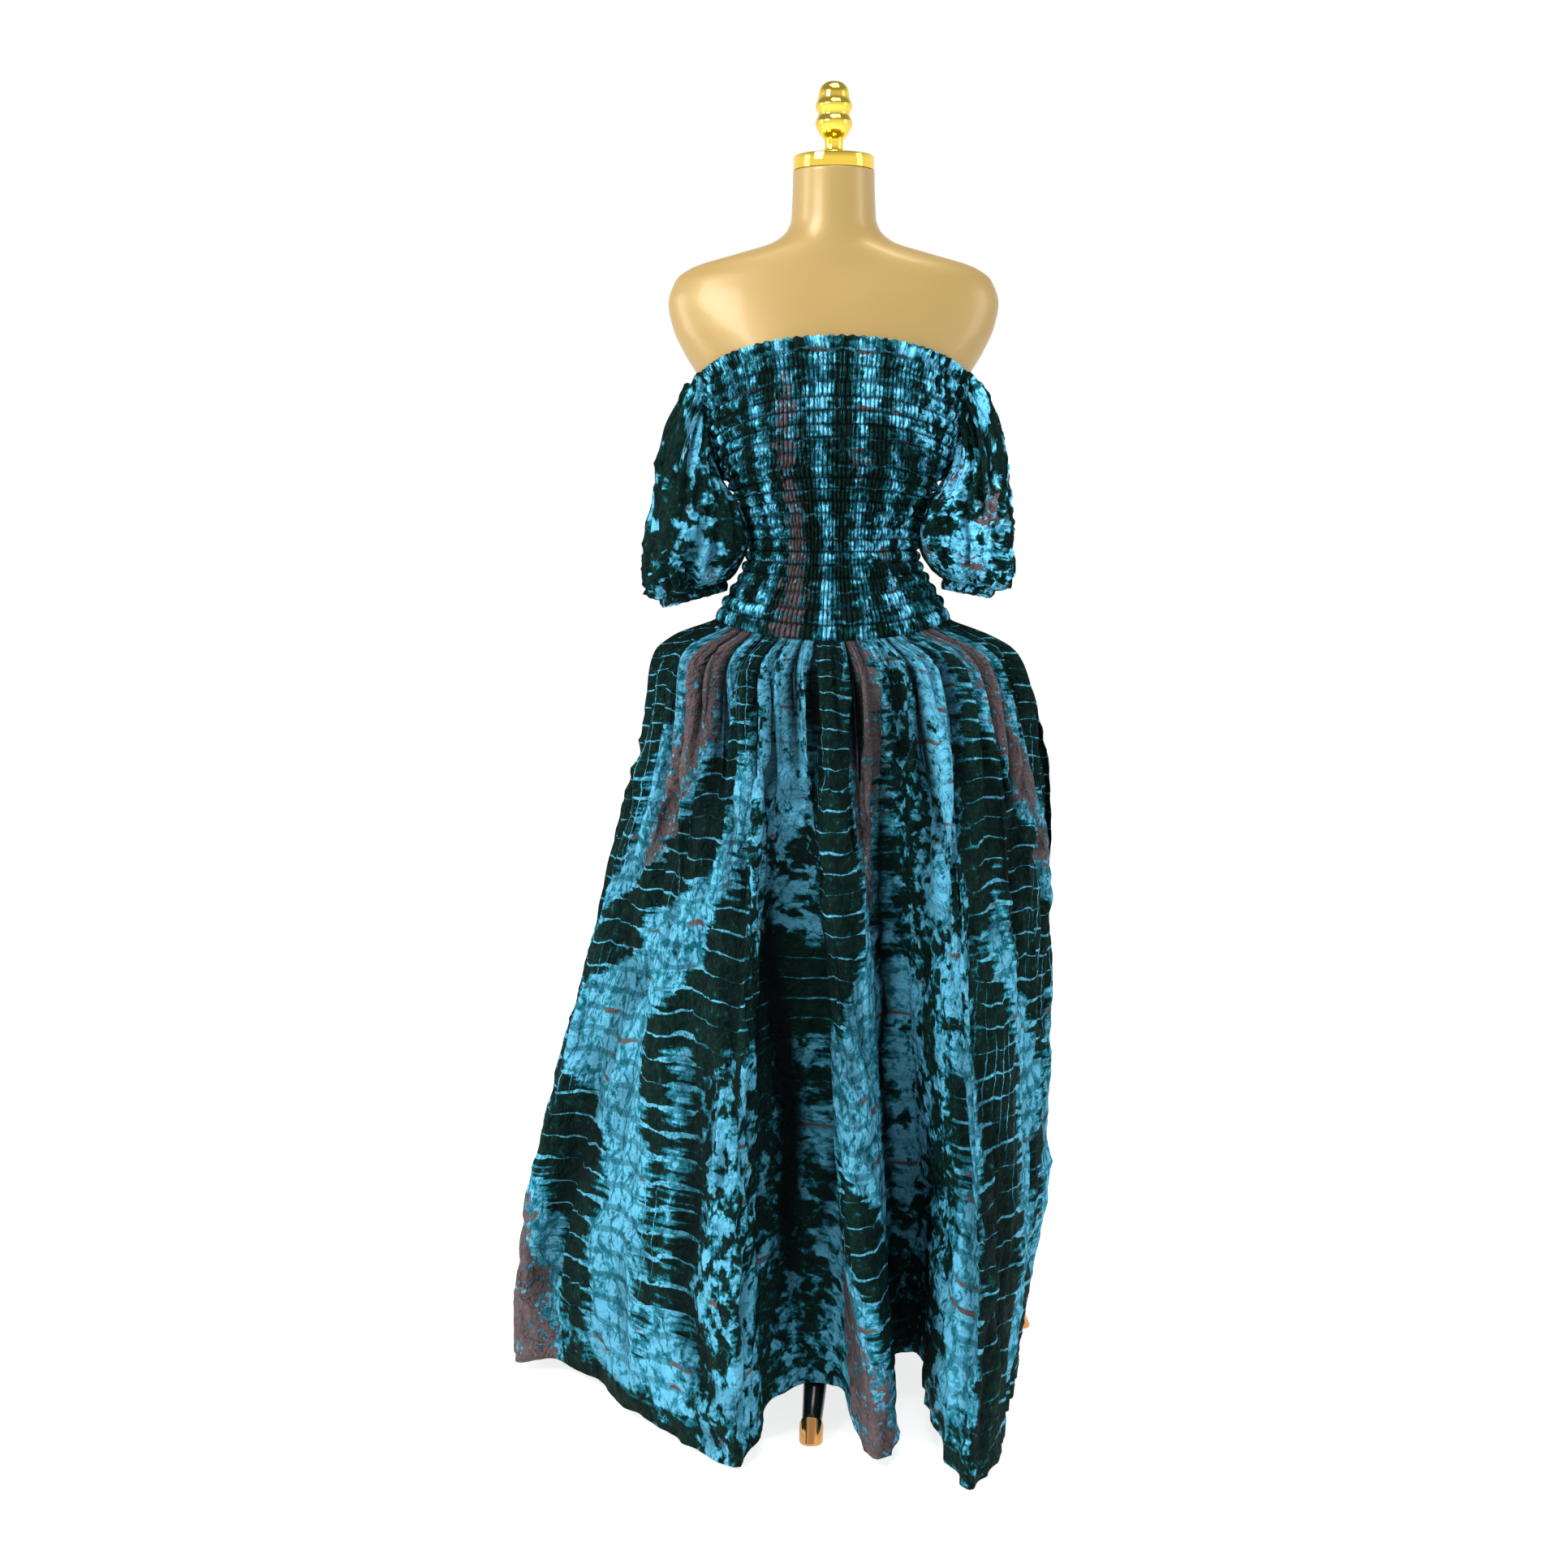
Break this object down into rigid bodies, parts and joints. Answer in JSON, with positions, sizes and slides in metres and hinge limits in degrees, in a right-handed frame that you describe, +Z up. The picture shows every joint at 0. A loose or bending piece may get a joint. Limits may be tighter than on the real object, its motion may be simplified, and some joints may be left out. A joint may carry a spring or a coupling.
{
  "type": "maxi dress on a dress form stand",
  "caption": "Floor-length off-the-shoulder dress with smocked bodice, puff sleeves and gathered skirt, on a limbless dress form with a tripod stand.",
  "frame": {"origin": "middle of the whole object's box seen from above, on the floor it stands on", "axes": "+Z up along the stand; -Y is the front of the dress; +X is the right of the picture, the wearer's left"},
  "size_m": [0.6864, 0.8196, 1.611],
  "materials": {
    "dyed_cotton": "plain-woven cotton, tie-dyed in dark green, teal, sky blue and mauve-brown",
    "champagne_paint": "satin champagne-gold paint",
    "polished_gold": "polished gold plate",
    "gloss_black": "gloss black enamel",
    "copper_ferrule": "polished copper-gold ferrule"
  },
  "bodies": {
    "root": {"bodice_front": "dyed_cotton", "bodice_back": "dyed_cotton", "sleeve_left": "dyed_cotton", "sleeve_right": "dyed_cotton", "skirt_front": "dyed_cotton", "skirt_back": "dyed_cotton", "form_torso": "champagne_paint", "neck_cap": "polished_gold", "finial": "polished_gold", "stand_pole": "gloss_black", "stand_hub": "gloss_black", "leg_1": "gloss_black", "leg_2": "gloss_black", "leg_3": "gloss_black", "foot_1": "copper_ferrule", "foot_2": "copper_ferrule", "foot_3": "copper_ferrule"}
  },
  "joints": []
}
